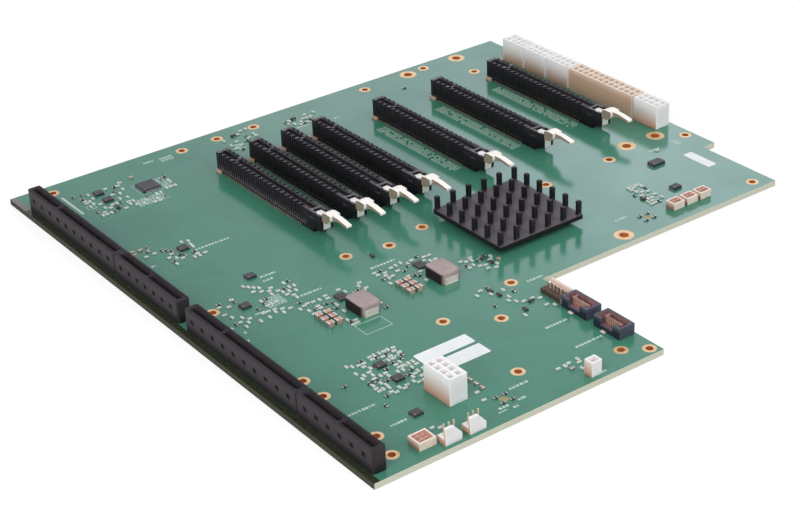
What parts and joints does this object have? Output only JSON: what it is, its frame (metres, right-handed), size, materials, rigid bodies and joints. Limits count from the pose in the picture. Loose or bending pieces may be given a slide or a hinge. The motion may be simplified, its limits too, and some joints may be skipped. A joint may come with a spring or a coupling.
{
  "type": "pcie backplane",
  "caption": "Flat L-shaped backplane board with a row of long card slots with hinged latches, edge connectors for a host board, power headers and a pin-fin heat sink.",
  "frame": {"origin": "centre of the bounding box on the board's underside", "axes": "+Z out of the component side, +Y along the slots towards the rear edge, +X across the slots towards the power headers"},
  "size_m": [0.32, 0.323, 0.017],
  "materials": {
    "board": "glossy green solder mask on glass-fibre laminate",
    "slot_plastic": "black moulded plastic",
    "latch_plastic": "ivory moulded plastic",
    "host_plastic": "dark grey moulded plastic",
    "lock": "tan lock",
    "sink": "black anodised aluminium",
    "pad": "soft thermal pad",
    "epoxy": "moulded chip body",
    "white_nylon": "white nylon",
    "ivory_nylon": "ivory nylon",
    "tan_nylon": "natural nylon",
    "pin": "plated brass",
    "core": "moulded iron powder",
    "capacitor": "ceramic chip",
    "shroud": "dark grey moulded plastic"
  },
  "bodies": {
    "backplane": {"circuit_board": "board", "slot_board_locks": "lock", "heat_sink": "sink", "thermal_pad": "pad", "power_header_24": "tan_nylon", "power_header_pins": "pin", "signal_header_pins": "pin", "inductor_1": "core", "inductor_2": "core", "capacitor_bank_1": "capacitor", "capacitor_bank_2": "capacitor", "sata_connector_1": "shroud", "sata_connector_2": "shroud", "pcie_slot_1": "slot_plastic", "pcie_slot_2": "slot_plastic", "pcie_slot_3": "slot_plastic", "pcie_slot_4": "slot_plastic", "pcie_slot_5": "slot_plastic", "pcie_slot_6": "slot_plastic", "pcie_slot_7": "slot_plastic", "host_connector_a": "host_plastic", "host_connector_b": "host_plastic", "host_connector_c": "host_plastic", "host_connector_d": "host_plastic", "power_header_1": "white_nylon", "power_header_2": "white_nylon", "power_header_3": "white_nylon", "power_header_4": "white_nylon", "aux_power_header": "white_nylon", "fan_header_1": "white_nylon", "fan_header_2": "white_nylon", "small_header": "white_nylon", "wafer_header": "ivory_nylon", "notch_header": "ivory_nylon", "side_header_1": "ivory_nylon", "side_header_2": "ivory_nylon", "side_header_3": "ivory_nylon", "control_chip": "epoxy", "logic_chip_1": "epoxy", "logic_chip_2": "epoxy", "logic_chip_3": "epoxy", "logic_chip_4": "epoxy", "logic_chip_5": "epoxy", "logic_chip_6": "epoxy", "logic_chip_7": "epoxy", "logic_chip_8": "epoxy", "outline_chip_1": "epoxy", "outline_chip_2": "epoxy", "switch_chip": "epoxy"},
    "latch_1": {"slot_latch_1": "latch_plastic"},
    "latch_2": {"slot_latch_2": "latch_plastic"},
    "latch_3": {"slot_latch_3": "latch_plastic"},
    "latch_4": {"slot_latch_4": "latch_plastic"},
    "latch_5": {"slot_latch_5": "latch_plastic"},
    "latch_6": {"slot_latch_6": "latch_plastic"},
    "latch_7": {"slot_latch_7": "latch_plastic"}
  },
  "joints": [
    {"name": "latch_1_hinge", "type": "hinge", "parent": "backplane", "child": "latch_1", "pos_m": [-0.0562, 0.0255, 0.0082], "axis": [1, 0, 0], "range_deg": [0, 15]},
    {"name": "latch_2_hinge", "type": "hinge", "parent": "backplane", "child": "latch_2", "pos_m": [-0.03588, 0.0255, 0.0082], "axis": [1, 0, 0], "range_deg": [0, 15]},
    {"name": "latch_3_hinge", "type": "hinge", "parent": "backplane", "child": "latch_3", "pos_m": [-0.01556, 0.0255, 0.0082], "axis": [1, 0, 0], "range_deg": [0, 15]},
    {"name": "latch_4_hinge", "type": "hinge", "parent": "backplane", "child": "latch_4", "pos_m": [0.00476, 0.0255, 0.0082], "axis": [1, 0, 0], "range_deg": [0, 15]},
    {"name": "latch_5_hinge", "type": "hinge", "parent": "backplane", "child": "latch_5", "pos_m": [0.0454, 0.0255, 0.0082], "axis": [1, 0, 0], "range_deg": [0, 15]},
    {"name": "latch_6_hinge", "type": "hinge", "parent": "backplane", "child": "latch_6", "pos_m": [0.08604, 0.0255, 0.0082], "axis": [1, 0, 0], "range_deg": [0, 15]},
    {"name": "latch_7_hinge", "type": "hinge", "parent": "backplane", "child": "latch_7", "pos_m": [0.12668, 0.0255, 0.0082], "axis": [1, 0, 0], "range_deg": [0, 15]}
  ]
}
